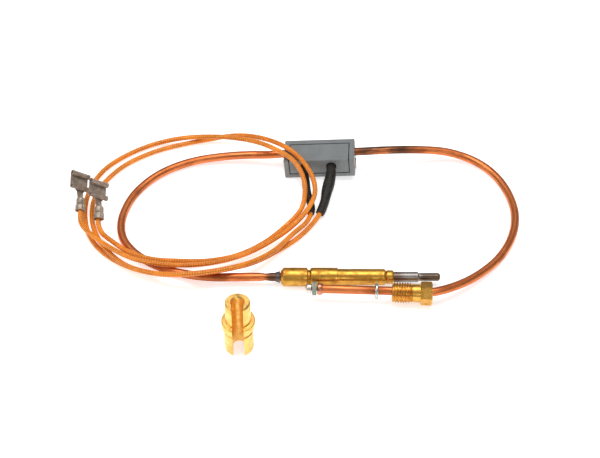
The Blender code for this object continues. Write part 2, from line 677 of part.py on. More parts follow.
def on_valve_axis(x):
    return VALVE_AT + Vector((x * math.cos(VALVE_YAW), x * math.sin(VALVE_YAW), 0.0))


def make_valve_end(look):
    frame = valve_frame()
    core_hole = CORE_R + FINE_GAP
    cup_bore = TUBE_R + FINE_GAP
    cone = [
        (-1.0 * MM, core_hole), (-1.0 * MM, 2.1 * MM), (-0.7 * MM, 2.35 * MM), (0.1 * MM, 2.35 * MM),
        (1.0 * MM, 2.05 * MM), (1.0 * MM, cup_bore), (-0.4 * MM, cup_bore), (-0.4 * MM, core_hole),
    ]
    turned("seat_cone", cone, look["copper"], parent=frame)
    washer = [(-3.0 * MM, core_hole), (-3.0 * MM, 2.6 * MM), (-1.3 * MM, 2.6 * MM), (-1.3 * MM, core_hole)]
    turned("insulating_washer", washer, look["fibre"], parent=frame)
    tip = [
        (-3.3 * MM, core_hole), (-3.3 * MM, 1.9 * MM), (-4.9 * MM, 1.8 * MM), (-5.4 * MM, 1.4 * MM),
        (-5.6 * MM, 0.8 * MM), (-5.6 * MM, 0.0), (-4.5 * MM, 0.0), (-4.5 * MM, core_hole),
    ]
    turned("contact_tip", tip, look["contact"], parent=frame)

    half = 0.65 * MM
    ring = [(-half, 2.05 * MM), (-half, 2.9 * MM), (-0.2 * MM, 3.1 * MM), (0.2 * MM, 3.1 * MM)]
    ring += [(half, 2.9 * MM), (half, 2.05 * MM)]
    lock = turned("lock_washer", ring, look["washer"], parent=frame)
    lock.location = (WASHER_X, 0.0, -WASHER_HANG)


def make_nut(look):
    frame = bpy.data.objects["valve_end_frame"]
    lead_in = 0.5 * MM
    thread_end = lead_in + THREAD_TURNS * THREAD_PITCH
    relief_end = thread_end + 3.2 * MM
    hex_end = relief_end + 4.4 * MM
    corner = HEX_FLAT / math.sqrt(3)
    face_limit = HEX_FLAT / 2 + 0.12 * MM
    full = hex_radius(HEX_FLAT, corner)
    turned_down = hex_radius(HEX_FLAT, face_limit)
    profile = [(0.0, NUT_BORE_R), (0.0, THREAD_ROOT_R), (lead_in * 0.6, THREAD_ROOT_R)]
    for turn in range(THREAD_TURNS):
        start = lead_in + turn * THREAD_PITCH
        profile.append((start + 0.40 * THREAD_PITCH, THREAD_R))
        profile.append((start + 0.55 * THREAD_PITCH, THREAD_R))
        profile.append((start + 0.97 * THREAD_PITCH, THREAD_ROOT_R))
    profile += [
        (thread_end + 0.2 * MM, 3.5 * MM), (relief_end, 3.5 * MM), (relief_end, turned_down),
        (relief_end + 0.25 * MM, full), (hex_end - 0.25 * MM, full), (hex_end, turned_down),
        (hex_end, NUT_BORE_R),
    ]
    nut = turned("gland_nut", profile, look["brass"], phase=HEX_PHASE, parent=frame)
    nut.location = (NUT_START_X, 0.0, -NUT_HANG)


# ---- split adaptor --------------------------------------------------------------------
def make_adaptor(look):
    chamfer = 0.6 * MM
    low, high = COLLAR_Z
    foot, top = ADAPTOR_FOOT_R, ADAPTOR_TOP_R
    profile = [
        (0.0, 0.0), (0.0, foot - chamfer), (chamfer, foot), (low - 1.5 * MM, foot),
        (low - 1.3 * MM, foot - 0.4 * MM), (low - 0.5 * MM, foot - 0.4 * MM), (low - 0.3 * MM, foot),
        (low, foot + 0.1 * MM), (low + 0.9 * MM, COLLAR_R), (high - 0.3 * MM, COLLAR_R),
        (high, COLLAR_R - 0.3 * MM), (high, top), (ADAPTOR_HEIGHT - chamfer, top),
        (ADAPTOR_HEIGHT, top - chamfer), (ADAPTOR_HEIGHT, 0.0),
    ]
    adaptor = turned("split_adaptor", profile, look["bright_brass"], axis="Z", closed=False)
    reach = 8.0 * MM
    half = ADAPTOR_SLOT / 2
    start = -math.acos(half / ADAPTOR_BORE_R)
    steps = 14
    outline = [(half, -reach)]
    for step in range(steps + 1):
        angle = start + (math.pi - 2 * start) * step / steps
        outline.append((ADAPTOR_BORE_R * math.cos(angle), ADAPTOR_BORE_R * math.sin(angle)))
    outline.append((-half, -reach))
    bm = bmesh.new()
    bm.faces.new([bm.verts.new((x, y, -1.0 * MM)) for x, y in outline])
    grown = bmesh.ops.extrude_face_region(bm, geom=list(bm.faces))
    moved = [v for v in grown["geom"] if isinstance(v, bmesh.types.BMVert)]
    bmesh.ops.translate(bm, verts=moved, vec=(0.0, 0.0, ADAPTOR_HEIGHT + 2.0 * MM))
    slot = add_object("adaptor_slot", mesh_from("adaptor_slot", bm), None, adaptor)
    combine(adaptor, slot, "DIFFERENCE")
    adaptor.location = ADAPTOR_AT


# ---- assembly -------------------------------------------------------------------------
def build():
    clear_scene()
    look = make_looks()
    make_probe_body(look)
    make_probe_sheath(look)
    make_probe_insides(look)
    make_tubes(look)
    make_block(look)
    make_lead("a", LEAD_A_ROUTE, SLEEVE_LENGTH[0], (1.85 * MM, 0.5 * MM, 1.8 * MM), look)
    make_lead("b", LEAD_B_ROUTE, SLEEVE_LENGTH[1], (1.50 * MM, 0.12 * MM, 1.48 * MM), look)
    make_flag("a", FLAG_A_AT, look)
    make_flag("b", FLAG_B_AT, look)
    make_valve_end(look)
    make_nut(look)
    make_adaptor(look)


build()
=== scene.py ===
"""Looks of the boiler thermocouple: its cords, metal, plastic and braid, with floor, light and camera.

Metres, in the CAD model's frame: the origin is on the floor under the middle of the rigid
assembly, +X runs along the probe towards its hot tip, +Y points to the interrupter block.
"""
import math

import bmesh
import bpy
from mathutils import Euler, Matrix, Vector, noise


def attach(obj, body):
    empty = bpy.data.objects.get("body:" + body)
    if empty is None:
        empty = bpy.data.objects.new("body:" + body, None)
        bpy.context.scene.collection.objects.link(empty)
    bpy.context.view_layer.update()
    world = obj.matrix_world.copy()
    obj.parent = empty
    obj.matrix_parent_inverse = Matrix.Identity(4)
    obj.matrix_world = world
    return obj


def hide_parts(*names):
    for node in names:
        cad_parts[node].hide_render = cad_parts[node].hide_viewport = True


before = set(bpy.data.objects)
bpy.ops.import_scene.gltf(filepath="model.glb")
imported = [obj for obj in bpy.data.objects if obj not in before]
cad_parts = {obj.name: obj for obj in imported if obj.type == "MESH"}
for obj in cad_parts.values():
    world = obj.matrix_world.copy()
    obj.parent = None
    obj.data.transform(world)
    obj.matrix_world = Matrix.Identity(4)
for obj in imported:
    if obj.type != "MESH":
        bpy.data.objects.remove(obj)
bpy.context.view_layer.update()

MM = 0.001

# ---- dimensions, as in the CAD model --------------------------------------------------
GAP = 0.3 * MM
FINE_GAP = 0.2 * MM
TUBE_R = 1.65 * MM                  # drawn copper tube
TUBE_BORE_R = 1.15 * MM
CORE_R = 0.75 * MM                  # lacquered core wire inside the tube
TUBE_END_IN_BODY = -6.0 * MM

PROBE_Y = -17.3 * MM                # probe axis, parallel to X
PROBE_Z = 3.8 * MM
BODY_R = 3.65 * MM
SHOULDER_R = 3.2 * MM
NOSE_R = 2.65 * MM
SHEATH_R = 2.0 * MM
TIP_R = 1.55 * MM

VALVE_AT = Vector((0.1, -25.2, 5.7)) * MM
VALVE_YAW = math.radians(-2.3)
WASHER_X = 21.4 * MM
WASHER_HANG = 0.2 * MM
NUT_START_X = 27.3 * MM
NUT_HANG = 0.85 * MM
NUT_BORE_R = 2.85 * MM
THREAD_R = 3.95 * MM
THREAD_ROOT_R = 3.35 * MM
THREAD_PITCH = 1.0 * MM
THREAD_TURNS = 7
HEX_FLAT = 8.0 * MM
HEX_PHASE = math.radians(165.0)

BLOCK_SIZE = Vector((29.0, 13.0, 9.4)) * MM
BLOCK_AT = Vector((1.2, 48.0, 1.32)) * MM
BLOCK_TURN = Euler((0.0, math.radians(-5.0), math.radians(-3.0)))
TUBE_IN_BLOCK = Vector((0.0, 2.0, 6.0)) * MM
TUBE_END_IN_BLOCK = 9.0 * MM

LEAD_R = 1.0 * MM
SLEEVE_BORE_R = 1.25 * MM
SLEEVE_LENGTH = (25.0 * MM, 25.5 * MM)

FLAG_LENGTH = 8.4 * MM
FLAG_WIDTH = 7.8 * MM
FLAG_HEIGHT = 2.2 * MM
FLAG_SHEET = 0.4 * MM
FLAG_REACH = 8.6 * MM
FLAG_LEFT = 4.9 * MM
MOUTH_R = 2.2 * MM
FLAG_AT = (Vector((-87.7, 13.4, 4.6)) * MM, Vector((-95.4, 17.2, 5.6)) * MM)
FLAG_PITCH = Matrix.Rotation(math.radians(25.0), 3, "X")
FLAG_ROLL = Matrix.Rotation(math.radians(46.0), 3, "Y")
FLAG_TURN = FLAG_PITCH @ FLAG_ROLL

ADAPTOR_AT = Vector((-29.9, -48.7, 0.0)) * MM
ADAPTOR_HEIGHT = 24.4 * MM
ADAPTOR_FOOT_R = 5.35 * MM
ADAPTOR_TOP_R = 4.65 * MM
ADAPTOR_BORE_R = 2.3 * MM
ADAPTOR_SLOT = 4.16 * MM
COLLAR_R = 6.2 * MM
COLLAR_Z = (11.0 * MM, 14.8 * MM)

PROBE_TUBE_ROUTE = [
    (-0.0208, 0.0511, 0.0052), (-0.0284, 0.0520, 0.0043), (-0.0359, 0.0523, 0.0035),
    (-0.0435, 0.0519, 0.0028), (-0.0502, 0.0508, 0.0023), (-0.0575, 0.0482, 0.0019),
    (-0.0645, 0.0438, 0.0018), (-0.0705, 0.0378, 0.0017), (-0.0752, 0.0304, 0.0017),
    (-0.0780, 0.0222, 0.0017), (-0.0790, 0.0138, 0.0017), (-0.0776, 0.0058, 0.0017),
    (-0.0734, -0.0011, 0.0017), (-0.0675, -0.0066, 0.0017), (-0.0606, -0.0108, 0.0019),
    (-0.0538, -0.0138, 0.0023), (-0.0467, -0.0159, 0.0029), (-0.0397, -0.0171, 0.0034),
    (-0.0328, -0.0173, 0.0037), (-0.0259, -0.0173, 0.0038),
]
VALVE_TUBE_ROUTE = [
    (0.0185, 0.0492, 0.0088), (0.0240, 0.0494, 0.0090), (0.0307, 0.0503, 0.0086),
    (0.0383, 0.0518, 0.0074), (0.0459, 0.0531, 0.0060), (0.0528, 0.0537, 0.0046),
    (0.0590, 0.0529, 0.0034), (0.0648, 0.0504, 0.0026), (0.0700, 0.0463, 0.0020),
    (0.0743, 0.0400, 0.0018), (0.0775, 0.0316, 0.0017), (0.0790, 0.0222, 0.0017),
    (0.0784, 0.0138, 0.0017), (0.0762, 0.0058, 0.0017), (0.0727, -0.0015, 0.0018),
    (0.0684, -0.0078, 0.0021), (0.0631, -0.0136, 0.0027), (0.0576, -0.0185, 0.0035),
    (0.0523, -0.0223, 0.0044), (0.0480, -0.0248, 0.0051), (0.0452, -0.0261, 0.0055),
]
LEAD_A_ROUTE = [
    (0.0055, 0.0430, 0.0075), (0.0050, 0.0370, 0.0067), (0.0035, 0.0295, 0.0047),
    (0.0010, 0.0200, 0.0027), (-0.0030, 0.0130, 0.0016), (-0.0090, 0.0055, 0.0013),
    (-0.0170, -0.0020, 0.0018), (-0.0255, -0.0095, 0.0036), (-0.0345, -0.0150, 0.0060),
    (-0.0440, -0.0175, 0.0065), (-0.0540, -0.0175, 0.0052), (-0.0645, -0.0145, 0.0030),
    (-0.0755, -0.0090, 0.0014), (-0.0855, -0.0010, 0.0012), (-0.0913, 0.0080, 0.0012),
    (-0.0943, 0.0205, 0.0012), (-0.0937, 0.0340, 0.0012), (-0.0890, 0.0460, 0.0012),
    (-0.0800, 0.0555, 0.0012), (-0.0690, 0.0620, 0.0015), (-0.0575, 0.0640, 0.0030),
    (-0.0455, 0.0625, 0.0052), (-0.0345, 0.0585, 0.0079), (-0.0245, 0.0530, 0.0102),
    (-0.0162, 0.0465, 0.0114), (-0.0103, 0.0408, 0.0114), (-0.0065, 0.0340, 0.0094),
    (-0.0055, 0.0265, 0.0067), (-0.0072, 0.0195, 0.0040), (-0.0145, 0.0110, 0.0016),
    (-0.0225, 0.0030, 0.0012), (-0.0325, -0.0035, 0.0013), (-0.0435, -0.0070, 0.0020),
    (-0.0550, -0.0090, 0.0040), (-0.0655, -0.0088, 0.0050), (-0.0745, -0.0048, 0.0050),
    (-0.0813, 0.0016, 0.0041), (-0.0860, 0.0074, 0.0032), (-0.0877, 0.0116, 0.0038),
    (-0.0877, 0.0152, 0.0054),
]
LEAD_B_ROUTE = [
    (-0.0057, 0.0433, 0.0067), (-0.0055, 0.0370, 0.0061), (-0.0045, 0.0290, 0.0044),
    (-0.0030, 0.0205, 0.0030), (-0.0047, 0.0135, 0.0033), (-0.0102, 0.0066, 0.0033),
    (-0.0170, -0.0028, 0.0040), (-0.0255, -0.0110, 0.0059), (-0.0345, -0.0166, 0.0080),
    (-0.0440, -0.0191, 0.0083), (-0.0540, -0.0189, 0.0070), (-0.0645, -0.0161, 0.0048),
    (-0.0750, -0.0107, 0.0034), (-0.0830, -0.0028, 0.0036), (-0.0877, 0.0055, 0.0027),
    (-0.0911, 0.0175, 0.0012), (-0.0913, 0.0285, 0.0012), (-0.0880, 0.0385, 0.0012),
    (-0.0805, 0.0490, 0.0012), (-0.0695, 0.0570, 0.0012), (-0.0575, 0.0620, 0.0012),
    (-0.0465, 0.0645, 0.0018), (-0.0350, 0.0640, 0.0045), (-0.0240, 0.0580, 0.0085),
    (-0.0138, 0.0492, 0.0114), (-0.0070, 0.0408, 0.0118), (-0.0025, 0.0325, 0.0100),
    (-0.0015, 0.0250, 0.0078), (-0.0045, 0.0180, 0.0056), (-0.0105, 0.0105, 0.0037),
    (-0.0185, 0.0032, 0.0029), (-0.0280, -0.0035, 0.0027), (-0.0390, -0.0085, 0.0031),
    (-0.0500, -0.0115, 0.0044), (-0.0610, -0.0122, 0.0057), (-0.0720, -0.0099, 0.0064),
    (-0.0815, -0.0037, 0.0061), (-0.0890, 0.0035, 0.0054), (-0.0944, 0.0112, 0.0046),
    (-0.0954, 0.0190, 0.0064),
]


# ---- curves ---------------------------------------------------------------------------
def smooth_curve(points, samples=12):
    """Centripetal Catmull-Rom curve through the points, as a dense list."""
    knots = [Vector(p) for p in points]
    knots = [2 * knots[0] - knots[1]] + knots + [2 * knots[-1] - knots[-2]]
    dense = []
    for p0, p1, p2, p3 in zip(knots, knots[1:], knots[2:], knots[3:]):
        t1 = math.sqrt((p1 - p0).length)
        t2 = t1 + math.sqrt((p2 - p1).length)
        t3 = t2 + math.sqrt((p3 - p2).length)
        for step in range(samples):
            t = t1 + (t2 - t1) * step / samples
            a1 = p0.lerp(p1, t / t1)
            a2 = p1.lerp(p2, (t - t1) / (t2 - t1))
            a3 = p2.lerp(p3, (t - t2) / (t3 - t2))
            b1 = a1.lerp(a2, t / t2)
            b2 = a2.lerp(a3, (t - t1) / (t3 - t1))
            dense.append(b1.lerp(b2, (t - t1) / (t2 - t1)))
    dense.append(knots[-2].copy())
    return dense


def path_length(points):
    return sum((b - a).length for a, b in zip(points, points[1:]))


def even_points(dense, step):
    """The same curve with its points spaced evenly, about one step apart."""
    reach = [0.0]
    for a, b in zip(dense, dense[1:]):
        reach.append(reach[-1] + (b - a).length)
    count = max(2, round(reach[-1] / step)) + 1
    even = []
    place = 0
    for index in range(count):
        want = reach[-1] * index / (count - 1)
        while place < len(dense) - 2 and reach[place + 1] < want:
            place += 1
        span = reach[place + 1] - reach[place]
        even.append(dense[place].lerp(dense[place + 1], (want - reach[place]) / span))
    return even


def frames_along(path):
    """Two unit vectors across the path at each point, carried along without twist. The first
    points down, so that a seam at angle 0 stays out of sight."""
    across = Vector((0.0, 0.0, -1.0))
    frames = []
    for i in range(len(path)):
        ahead = path[min(i + 1, len(path) - 1)]
        behind = path[max(i - 1, 0)]
        along = (ahead - behind).normalized()
        across = (across - along * across.dot(along)).normalized()
        frames.append((across, along.cross(across)))
    return frames


def rounded(profile, radius, steps=3):
    """The profile with each inner corner turned into a small curve."""
    points = [Vector(p) for p in profile]
    result = [points[0]]
    for before, corner, after in zip(points, points[1:], points[2:]):
        back, on = before - corner, after - corner
        cut = min(radius, 0.4 * back.length, 0.4 * on.length)
        start, end = corner + back.normalized() * cut, corner + on.normalized() * cut
        for step in range(steps + 1):
            t = step / steps
            result.append(start.lerp(corner, t).lerp(corner.lerp(end, t), t))
    result.append(points[-1])
    return [(p.x, p.y) for p in result]


# ---- meshes ---------------------------------------------------------------------------
def turn_faces_out(mesh):
    bm = bmesh.new()
    bm.from_mesh(mesh)
    bmesh.ops.recalc_face_normals(bm, faces=bm.faces)
    bm.to_mesh(mesh)
    bm.free()


def finish_piece(name, spots, faces, uvs, look, slot, body, sharp_degrees=32.0):
    """An object from plain lists. uvs has one list per face: distance along in mm, share around."""
    mesh = bpy.data.meshes.new(name)
    mesh.from_pydata(spots, [], faces)
    layer = mesh.uv_layers.new(name="along")
    flat = [number for face in uvs for pair in face for number in pair]
    layer.data.foreach_set("uv", flat)
    turn_faces_out(mesh)
    mesh.shade_smooth()
    mesh.set_sharp_from_angle(angle=math.radians(sharp_degrees))
    mesh.materials.append(look)
    made = bpy.data.objects.new(name, mesh)
    bpy.context.scene.collection.objects.link(made)
    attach(made, body)
    return made


def skin(rings, closed=False, caps=True):
    """Spots, faces and uvs of a surface over rings of equal size. closed joins the last ring to
    the first; caps close the two ends."""
    count = len(rings[0])
    spots = [tuple(p) for ring in rings for p in ring]
    reach = [0.0]
    for a, b in zip(rings, rings[1:]):
        reach.append(reach[-1] + (Vector(b[0]) - Vector(a[0])).length / MM)
    faces, uvs = [], []
    pairs = list(zip(range(len(rings) - 1), range(1, len(rings))))
    if closed:
        pairs.append((len(rings) - 1, 0))
    for i, j in pairs:
        for k in range(count):
            m = (k + 1) % count
            faces.append((i * count + k, i * count + m, j * count + m, j * count + k))
            near, far = k / count, (k + 1) / count
            uvs.append([(reach[i], near), (reach[i], far), (reach[j], far), (reach[j], near)])
    if caps and not closed:
        last = (len(rings) - 1) * count
        faces.append(tuple(range(count))[::-1])
        uvs.append([(0.0, k / count) for k in range(count)][::-1])
        faces.append(tuple(range(last, last + count)))
        uvs.append([(reach[-1], k / count) for k in range(count)])
    return spots, faces, uvs


def join(parts):
    """Several (spots, faces, uvs) as one."""
    spots, faces, uvs = [], [], []
    for more_spots, more_faces, more_uvs in parts:
        start = len(spots)
        spots += more_spots
        faces += [tuple(i + start for i in face) for face in more_faces]
        uvs += more_uvs
    return spots, faces, uvs


def ring_at(point, u, v, radius, sides):
    """A ring of points round a path point. radius may be a function of the angle."""
    ring = []
    for k in range(sides):
        angle = 2 * math.pi * k / sides
        r = radius(angle) if callable(radius) else radius
        ring.append(point + r * (math.cos(angle) * u + math.sin(angle) * v))
    return ring


def swept(path, outer, sides, bore=None):
    """A round solid or, with a bore, a tube along a path. outer and bore take the index of a
    path point and give a radius or a function of the angle."""
    frames = frames_along(path)
    rings = [ring_at(p, u, v, outer(i), sides) for i, (p, (u, v)) in enumerate(zip(path, frames))]
    if bore is None:
        return skin(rings)
    inner = [ring_at(p, u, v, bore(i), sides) for i, (p, (u, v)) in enumerate(zip(path, frames))]
    return skin(rings + inner[::-1], closed=True)


def turned(profile, place, sides=96, closed=True):
    """A turned solid about the X axis of the matrix place. A profile point is (station, radius),
    where the radius may be a function of the angle."""
    rings = []
    for station, radius in profile:
        ring = []
        for k in range(sides):
            angle = 2 * math.pi * k / sides
            r = radius(angle) if callable(radius) else radius
            ring.append(place @ Vector((station, r * math.sin(angle), -r * math.cos(angle))))
        rings.append(ring)
    return skin(rings, closed=closed)


# ---- materials ------------------------------------------------------------------------
class Look:
    """A material under construction, with short calls for the nodes that the looks share."""

    def __init__(self, name, roughness=0.5, metallic=0.0, **fixed):
        self.material = bpy.data.materials.new(name)
        self.material.use_nodes = True
        self.tree = self.material.node_tree
        self.shader = self.tree.nodes["Principled BSDF"]
        self.shader.inputs["Roughness"].default_value = roughness
        self.shader.inputs["Metallic"].default_value = metallic
        for socket, value in fixed.items():
            self.shader.inputs[socket.replace("_", " ")].default_value = value

    def wire(self, value, socket):
        if isinstance(value, bpy.types.NodeSocket):
            self.tree.links.new(value, socket)
        else:
            socket.default_value = value

    def math(self, operation, a, b=0.0):
        node = self.tree.nodes.new("ShaderNodeMath")
        node.operation = operation
        self.wire(a, node.inputs[0])
        self.wire(b, node.inputs[1])
        return node.outputs[0]

    def along(self):
        """Distance along in mm and share around, from the piece's own map."""
        uv = self.tree.nodes.new("ShaderNodeUVMap")
        uv.uv_map = "along"
        split = self.tree.nodes.new("ShaderNodeSeparateXYZ")
        self.tree.links.new(uv.outputs[0], split.inputs[0])
        return split.outputs[0], split.outputs[1]

    def spot(self):
        return self.tree.nodes.new("ShaderNodeTexCoord").outputs["Object"]

    def vector(self, x=0.0, y=0.0, z=0.0):
        node = self.tree.nodes.new("ShaderNodeCombineXYZ")
        for value, socket in zip((x, y, z), node.inputs):
            self.wire(value, socket)
        return node.outputs[0]

    def noise(self, scale, vector=None, detail=3.0, roughness=0.55, distortion=0.0):
        node = self.tree.nodes.new("ShaderNodeTexNoise")
        node.inputs["Scale"].default_value = scale
        node.inputs["Detail"].default_value = detail
        node.inputs["Roughness"].default_value = roughness
        node.inputs["Distortion"].default_value = distortion
        self.wire(self.spot() if vector is None else vector, node.inputs["Vector"])
        return node.outputs["Fac"]

    def grain(self, along_scale, around_scale, detail=3.0):
        """Noise on the piece's own map, stretched along it and round it."""
        along, around = self.along()
        x = self.math("MULTIPLY", along, along_scale)
        y = self.math("MULTIPLY", around, around_scale)
        return self.noise(1.0, self.vector(x, y), detail=detail)

    def scaled_spot(self, x, y, z):
        """The piece's own coordinates, each times a scale of its own."""
        split = self.tree.nodes.new("ShaderNodeSeparateXYZ")
        self.tree.links.new(self.spot(), split.inputs[0])
        parts = [self.math("MULTIPLY", out, scale) for out, scale in zip(split.outputs, (x, y, z))]
        return self.vector(*parts)

    def span(self, value, low, high, to_low=0.0, to_high=1.0):
        """A value mapped smoothly from one range to another."""
        node = self.tree.nodes.new("ShaderNodeMapRange")
        node.interpolation_type = "SMOOTHSTEP"
        ends = (("From Min", low), ("From Max", high), ("To Min", to_low), ("To Max", to_high))
        for name, number in ends:
            node.inputs[name].default_value = number
        self.wire(value, node.inputs["Value"])
        return node.outputs[0]

    def near(self, point, inner, outer):
        """1 within the inner distance of a point, 0 beyond the outer one."""
        node = self.tree.nodes.new("ShaderNodeVectorMath")
        node.operation = "DISTANCE"
        self.wire(self.spot(), node.inputs[0])
        node.inputs[1].default_value = point
        return self.span(node.outputs["Value"], inner, outer, 1.0, 0.0)

    def blend(self, share, a, b):
        node = self.tree.nodes.new("ShaderNodeMix")
        node.data_type = "RGBA"
        self.wire(share, node.inputs[0])
        for value, socket in ((a, node.inputs[6]), (b, node.inputs[7])):
            self.wire(value if isinstance(value, bpy.types.NodeSocket) else (*value, 1.0), socket)
        return node.outputs[2]

    def colour(self, value):
        self.wire(value, self.shader.inputs["Base Color"])

    def roughness(self, value):
        self.wire(value, self.shader.inputs["Roughness"])

    def bumps(self, *layers):
        """Stacks (height, depth in metres) layers into one normal."""
        normal = None
        for height, depth in layers:
            node = self.tree.nodes.new("ShaderNodeBump")
            node.inputs["Distance"].default_value = depth
            self.wire(height, node.inputs["Height"])
            if normal is not None:
                self.tree.links.new(normal, node.inputs["Normal"])
            normal = node.outputs[0]
        self.tree.links.new(normal, self.shader.inputs["Normal"])


BRAID_PITCH = 1.9                   # mm along the lead for one turn of the weave's wave
BRAID_WAVES = 4                     # waves round the lead
TURN = 2 * math.pi


def braid_look():
    look = Look("braid", roughness=0.5, Coat_Weight=0.1, Coat_Roughness=0.4)
    along, around = look.along()
    a = look.math("MULTIPLY", along, TURN / BRAID_PITCH)
    b = look.math("MULTIPLY", around, TURN * BRAID_WAVES)
    one_way = look.math("SINE", look.math("ADD", a, b))
    other_way = look.math("SINE", look.math("SUBTRACT", a, b))
    weave = look.math("MULTIPLY", one_way, other_way)
    strand = look.grain(0.9, 9.0, 4.0)
    patch = look.grain(0.12, 1.0, 2.0)
    # painted shade: the weave's troughs get the darker orange and its crests the lighter orange,
    # following the same wave as the bump
    weave_shade = look.span(weave, -0.5, 0.9)
    base = look.blend(weave_shade, (0.52, 0.125, 0.002), (0.94, 0.31, 0.006))
    base = look.blend(look.span(patch, 0.4, 0.75), base, (0.90, 0.27, 0.006))
    base = look.blend(look.span(strand, 0.60, 0.74), base, (1.0, 0.58, 0.17))
    base = look.blend(look.span(strand, 0.40, 0.28), base, (0.36, 0.08, 0.003))
    look.colour(base)
    look.roughness(look.span(strand, 0.3, 0.7, 0.62, 0.42))
    look.bumps((weave, 0.05 * MM), (strand, 0.04 * MM))
    return look.material


SCORCH_AT = (0.027, 0.0495, 0.009)  # darkened stretch of the tube beside the block
BRAZE_AT = (-0.0165, PROBE_Y, PROBE_Z)


def copper_look():
    look = Look("copper_tube", roughness=0.42, metallic=1.0)
    streak = look.grain(0.03, 14.0, 5.0)
    fine = look.grain(0.25, 40.0, 3.0)
    cloud = look.grain(0.07, 2.0, 4.0)
    base = look.blend(look.span(streak, 0.35, 0.68), (0.56, 0.15, 0.045), (0.76, 0.25, 0.085))
    base = look.blend(look.span(cloud, 0.48, 0.68), base, (0.38, 0.11, 0.035))
    base = look.blend(look.span(fine, 0.56, 0.74), base, (0.22, 0.07, 0.03))
    scorched = look.near(SCORCH_AT, 7 * MM, 19 * MM)
    hot = look.math("MULTIPLY", scorched, look.span(cloud, 0.28, 0.50))
    base = look.blend(hot, base, (0.11, 0.05, 0.03))
    base = look.blend(look.near(BRAZE_AT, 2.6 * MM, 6.0 * MM), base, (0.13, 0.06, 0.035))
    look.colour(base)
    look.roughness(look.span(cloud, 0.35, 0.7, 0.36, 0.56))
    look.bumps((streak, 0.03 * MM), (fine, 0.015 * MM))
    return look.material


def turned_look(name, bright, dull, shine=0.22, marks=0.008 * MM):
    """Turned metal: fine tool marks round the piece, with dulled patches."""
    look = Look(name, roughness=shine, metallic=1.0, Anisotropic=0.35)
    tool = look.grain(9.0, 0.0, 4.0)
    cloud = look.noise(420.0, detail=4.0)
    base = look.blend(look.span(cloud, 0.38, 0.70), bright, dull)
    base = look.blend(look.span(tool, 0.62, 0.78, 0.0, 0.55), base, dull)
    look.colour(base)
    look.roughness(look.span(cloud, 0.3, 0.75, shine * 0.8, shine * 1.7))
    look.bumps((tool, marks), (look.noise(2600.0), 0.0015 * MM))
    return look.material


def sheath_look():
    look = Look("sheath", roughness=0.34, metallic=1.0)
    tool = look.grain(7.0, 3.0, 4.0)
    split = look.tree.nodes.new("ShaderNodeSeparateXYZ")
    look.tree.links.new(look.spot(), split.inputs[0])
    reach = split.outputs[0]
    base = look.blend(look.span(tool, 0.35, 0.68), (0.20, 0.185, 0.18), (0.34, 0.31, 0.29))
    base = look.blend(look.span(reach, 0.0295, 0.0335, 0.75, 0.0), base, (0.13, 0.075, 0.045))
    base = look.blend(look.span(reach, 0.0372, 0.0400), base, (0.11, 0.082, 0.06))
    base = look.blend(look.span(reach, 0.0430, 0.0458, 0.0, 0.8), base, (0.15, 0.095, 0.055))
    look.colour(base)
    look.roughness(look.span(tool, 0.3, 0.7, 0.28, 0.44))
    look.bumps((tool, 0.02 * MM))
    return look.material


def plastic_look(name, light, dark, grain=0.012 * MM, roughness=0.42):
    look = Look(name, roughness=roughness)
    cloud = look.noise(160.0, detail=4.0)
    speck = look.noise(5200.0, detail=2.0)
    scuff = look.noise(1.0, look.scaled_spot(900.0, 90.0, 400.0), detail=4.0)
    base = look.blend(look.span(cloud, 0.35, 0.7), light, dark)
    scratched = tuple(min(1.0, c * 1.7) for c in light)
    base = look.blend(look.span(scuff, 0.66, 0.80, 0.0, 0.45), base, scratched)
    look.colour(base)
    look.roughness(look.span(cloud, 0.3, 0.7, roughness * 0.85, roughness * 1.25))
    look.bumps((cloud, grain * 3), (speck, grain))
    return look.material


def shrink_look():
    look = Look("heat_shrink", roughness=0.6, Specular_IOR_Level=0.22)
    fold = look.grain(0.35, 7.0, 4.0)
    dust = look.grain(1.6, 12.0, 3.0)
    base = look.blend(look.span(fold, 0.35, 0.7), (0.012, 0.011, 0.009), (0.030, 0.027, 0.021))
    base = look.blend(look.span(dust, 0.66, 0.80, 0.0, 0.5), base, (0.085, 0.075, 0.055))
    look.colour(base)
    look.roughness(look.span(fold, 0.3, 0.7, 0.42, 0.68))
    look.bumps((fold, 0.10 * MM), (dust, 0.02 * MM))
    return look.material


def tin_look():
    look = Look("tinned_brass", roughness=0.55, metallic=0.6)
    cloud = look.noise(520.0, detail=4.0)
    ridge = look.grain(0.05, 30.0)
    fine = look.noise(1.0, look.scaled_spot(700.0, 2600.0, 700.0), detail=3.0)
    base = look.blend(look.span(cloud, 0.35, 0.68), (0.44, 0.37, 0.30), (0.30, 0.24, 0.19))
    base = look.blend(look.span(fine, 0.60, 0.78, 0.0, 0.7), base, (0.30, 0.23, 0.17))
    base = look.blend(look.span(ridge, 0.54, 0.66), base, (0.20, 0.15, 0.11))
    look.colour(base)
    look.roughness(look.span(cloud, 0.3, 0.75, 0.48, 0.68))
    look.bumps((cloud, 0.02 * MM), (ridge, 0.10 * MM), (fine, 0.012 * MM))
    return look.material


def rough_look(name, light, dark, roughness, metallic, scale=900.0, depth=0.03 * MM):
    """A matt, mottled surface for the small parts."""
    look = Look(name, roughness=roughness, metallic=metallic)
    cloud = look.noise(scale, detail=4.0)
    look.colour(look.blend(look.span(cloud, 0.35, 0.7), light, dark))
    look.roughness(look.span(cloud, 0.3, 0.7, roughness * 0.8, min(1.0, roughness * 1.3)))
    look.bumps((cloud, depth))
    return look.material


def floor_look():
    look = Look("floor", roughness=0.8)
    grain = look.noise(30.0, detail=2.0)
    look.colour(look.blend(look.span(grain, 0.3, 0.7), (0.90, 0.90, 0.90), (0.91, 0.91, 0.91)))
    look.shader.inputs["Emission Color"].default_value = (1.0, 1.0, 1.0, 1.0)
    look.shader.inputs["Emission Strength"].default_value = 0.55
    return look.material


